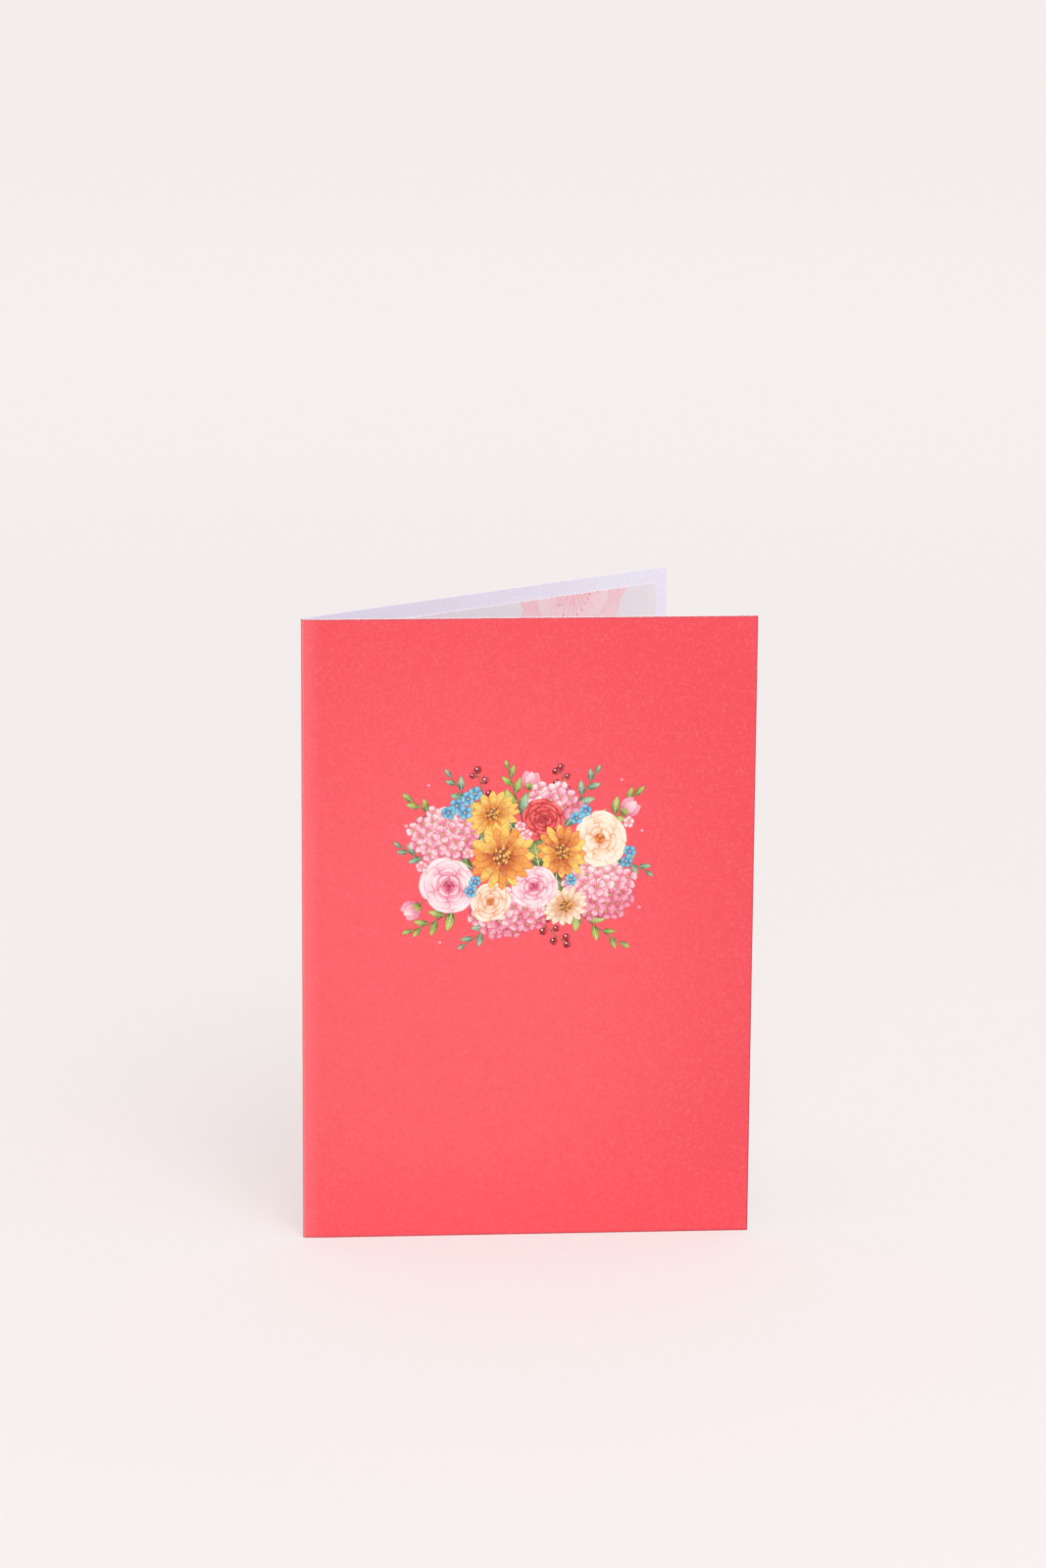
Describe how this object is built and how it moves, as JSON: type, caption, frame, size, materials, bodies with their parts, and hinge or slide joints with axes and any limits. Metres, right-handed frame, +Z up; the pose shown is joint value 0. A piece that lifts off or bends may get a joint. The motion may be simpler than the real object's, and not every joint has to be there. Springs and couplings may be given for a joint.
{
  "type": "greeting card",
  "caption": "Folded greeting card standing open, with a coral board cover, a small floral print on the front and a printed insert sheet glued inside.",
  "frame": {"origin": "middle of the footprint, on the surface that the card stands on", "axes": "+Z up along the crease, +X from the crease to the front panel's free edge, -Y out of the front panel"},
  "size_m": [0.12, 0.0642, 0.17],
  "materials": {
    "cover_board": "matt coral print outside, bare lavender-white board inside and at the cut edges",
    "insert_paper": "matt off-white sheet with a pale pink wash print",
    "flower_print": "printed watercolour flowers in pinks, golds, blues and greens, on the front and inside"
  },
  "bodies": {
    "root": {"card_cover": "cover_board", "paper_insert": "insert_paper"}
  },
  "joints": []
}
